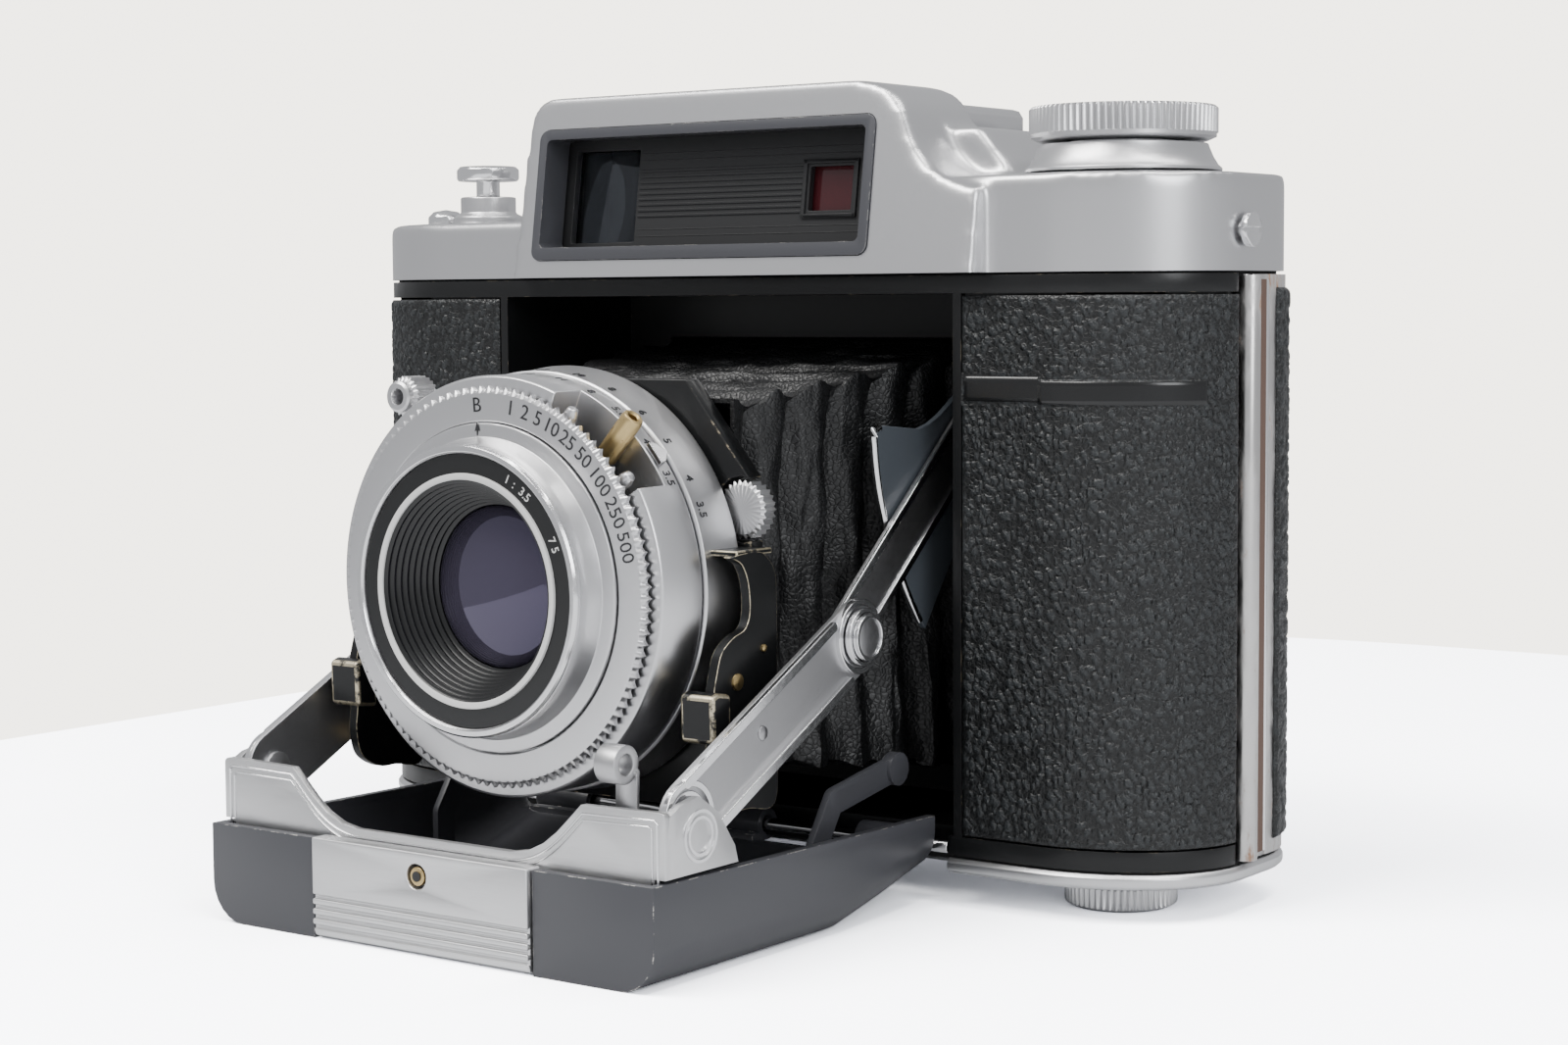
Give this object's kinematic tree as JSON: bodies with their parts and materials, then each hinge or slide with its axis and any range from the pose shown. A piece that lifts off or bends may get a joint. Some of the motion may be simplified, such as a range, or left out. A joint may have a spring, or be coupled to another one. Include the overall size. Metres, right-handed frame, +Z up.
{
  "type": "folding camera",
  "caption": "Folding medium-format camera opened for use: drop bed with side struts, pleated bellows, leaf shutter and lens, finder housing, winding knob, hinged back.",
  "frame": {"origin": "centre of the bottom plate's lower face", "axes": "+Z up, lens facing -Y, +X towards the winding knob, along the body's longest side"},
  "size_m": [0.1389, 0.0952, 0.1018],
  "materials": {
    "satin_chrome": "satin plated, soft highlights",
    "aluminium": "brushed, satin",
    "polished_steel": "polished",
    "grey_enamel": "semi-gloss dark grey enamel",
    "black_paint": "semi-gloss black",
    "leatherette": "coarse-grain leatherette",
    "bellows_leather": "thin pleated leather, slight gloss",
    "brass": "worn brass",
    "coated_glass": "coated lens glass",
    "window_glass": "clear window glass",
    "red_glass": "deep red window",
    "spool_plastic": "matte black",
    "black_plastic": "moulded black"
  },
  "bodies": {
    "body": {"body_casting": "black_paint", "front_leather_right": "leatherette", "front_leather_left": "leatherette", "bottom_plate": "satin_chrome", "tripod_bush": "brass", "top_cover": "satin_chrome", "cover_screw_right": "polished_steel", "cover_screw_left": "polished_steel", "window_bezel": "grey_enamel", "window_panel": "black_paint", "viewfinder_window": "window_glass", "rangefinder_window": "red_glass", "viewfinder_eyepiece": "black_plastic", "accessory_shoe": "satin_chrome", "knob_collar": "satin_chrome", "button_collar": "satin_chrome", "double_exposure_stud": "satin_chrome", "bed_hinge_pin": "polished_steel", "door_hinge_pin": "polished_steel"},
    "winder": {"winding_knob": "satin_chrome", "takeup_spool": "spool_plastic", "foot_knob_right": "satin_chrome"},
    "supply_reel": {"supply_spool": "spool_plastic", "foot_knob_left": "satin_chrome"},
    "shutter_button": {"shutter_button": "satin_chrome"},
    "bed": {"bed_tray": "grey_enamel", "bed_block": "aluminium", "bed_crosspiece": "aluminium", "hook_spring": "polished_steel", "bed_lever_right": "black_paint", "bed_lever_left": "black_paint"},
    "lock_pin": {"lock_pin": "brass"},
    "front_strut_right": {"front_strut_right": "polished_steel"},
    "front_strut_left": {"front_strut_left": "polished_steel"},
    "rear_strut_right": {"rear_strut_right": "polished_steel", "sector_plate_right": "grey_enamel"},
    "rear_strut_left": {"rear_strut_left": "polished_steel", "sector_plate_left": "grey_enamel"},
    "standard": {"standard_plate": "black_paint", "standard_bracket_right": "black_paint", "standard_bracket_left": "black_paint", "shutter_body": "satin_chrome", "lens_barrel": "satin_chrome", "name_ring": "black_paint", "lens_cone": "black_paint", "front_lens": "coated_glass", "rear_lens": "coated_glass", "cable_socket": "satin_chrome", "bellows": "bellows_leather"},
    "speed_ring": {"speed_ring": "satin_chrome"},
    "distance_ring": {"distance_ring": "satin_chrome"},
    "focus_wheel": {"focus_wheel": "satin_chrome"},
    "cocking_pin": {"cocking_pin": "brass"},
    "aperture_pointer": {"aperture_pointer": "satin_chrome"},
    "door": {"back_door": "satin_chrome", "door_leather": "leatherette", "pressure_plate": "black_paint", "red_window": "red_glass"},
    "red_window_cover": {"red_window_cover": "satin_chrome"},
    "door_latch": {"door_latch": "satin_chrome"}
  },
  "joints": [
    {"name": "bed_fold", "type": "hinge", "parent": "body", "child": "bed", "pos_m": [0, -0.015, 0.003], "axis": [-1, 0, 0], "range_deg": [0, 90]},
    {"name": "standard_slide", "type": "slide", "parent": "body", "child": "standard", "axis": [0, 0.9988, 0.048], "range_m": [0, 0.0521], "deforming": ["bellows"]},
    {"name": "front_strut_right_hinge", "type": "hinge", "parent": "bed", "child": "front_strut_right", "pos_m": [0.0323, -0.0646, 0.0138], "axis": [-1, 0, 0], "range_deg": [0, 28.1]},
    {"name": "front_strut_left_hinge", "type": "hinge", "parent": "bed", "child": "front_strut_left", "pos_m": [-0.0323, -0.0646, 0.0138], "axis": [-1, 0, 0], "range_deg": [0, 28.1]},
    {"name": "rear_strut_right_hinge", "type": "hinge", "parent": "body", "child": "rear_strut_right", "pos_m": [0.0308, 0.002, 0.059], "axis": [1, 0, 0], "range_deg": [0, 41.1]},
    {"name": "rear_strut_left_hinge", "type": "hinge", "parent": "body", "child": "rear_strut_left", "pos_m": [-0.0308, 0.002, 0.059], "axis": [1, 0, 0], "range_deg": [0, 41.1]},
    {"name": "lock_pin_press", "type": "slide", "parent": "bed", "child": "lock_pin", "axis": [0, 1, 0], "range_m": [0, 0.0008], "stiffness_N_per_m": 250},
    {"name": "winder_turn", "type": "hinge", "parent": "body", "child": "winder", "pos_m": [0.052, -0.002, 0.045], "axis": [0, 0, 1], "continuous": true},
    {"name": "supply_turn", "type": "hinge", "parent": "body", "child": "supply_reel", "pos_m": [-0.052, -0.002, 0.038], "axis": [0, 0, 1], "continuous": true},
    {"name": "shutter_press", "type": "slide", "parent": "body", "child": "shutter_button", "axis": [0, 0, -1], "range_m": [0, 0.002], "stiffness_N_per_m": 400},
    {"name": "door_swing", "type": "hinge", "parent": "body", "child": "door", "pos_m": [0.0674, 0.0012, 0.038], "axis": [0, 0, -1], "range_deg": [0, 110]},
    {"name": "door_latch_slide", "type": "slide", "parent": "door", "child": "door_latch", "axis": [0, 0, 1], "range_m": [0, 0.0018]},
    {"name": "red_window_slide", "type": "slide", "parent": "door", "child": "red_window_cover", "axis": [1, 0, 0], "range_m": [0, 0.0095]},
    {"name": "speed_turn", "type": "hinge", "parent": "standard", "child": "speed_ring", "pos_m": [0, -0.055, 0.0373], "axis": [0, -1, 0], "range_deg": [-20, 110]},
    {"name": "focus_turn", "type": "hinge", "parent": "standard", "child": "distance_ring", "pos_m": [0, -0.055, 0.0373], "axis": [0, -1, 0], "range_deg": [0, 100]},
    {"name": "focus_wheel_turn", "type": "hinge", "parent": "standard", "child": "focus_wheel", "pos_m": [0.0252, -0.043, 0.0465], "axis": [0, -1, 0], "range_deg": [-745, 5]},
    {"name": "cocking_swing", "type": "hinge", "parent": "standard", "child": "cocking_pin", "pos_m": [0, -0.055, 0.0373], "axis": [0, -1, 0], "range_deg": [-14, 14]},
    {"name": "aperture_swing", "type": "hinge", "parent": "standard", "child": "aperture_pointer", "pos_m": [0, -0.055, 0.0373], "axis": [0, -1, 0], "range_deg": [-30, 30]}
  ],
  "couplings": [
    {"joint": "standard_slide", "follows": "bed_fold", "m_per_rad": 0.033142},
    {"joint": "front_strut_right_hinge", "follows": "bed_fold", "ratio": 0.31111},
    {"joint": "front_strut_left_hinge", "follows": "bed_fold", "ratio": 0.31111},
    {"joint": "rear_strut_right_hinge", "follows": "bed_fold", "ratio": 0.45556},
    {"joint": "rear_strut_left_hinge", "follows": "bed_fold", "ratio": 0.45556},
    {"joint": "focus_wheel_turn", "follows": "focus_turn", "ratio": -7.43}
  ]
}
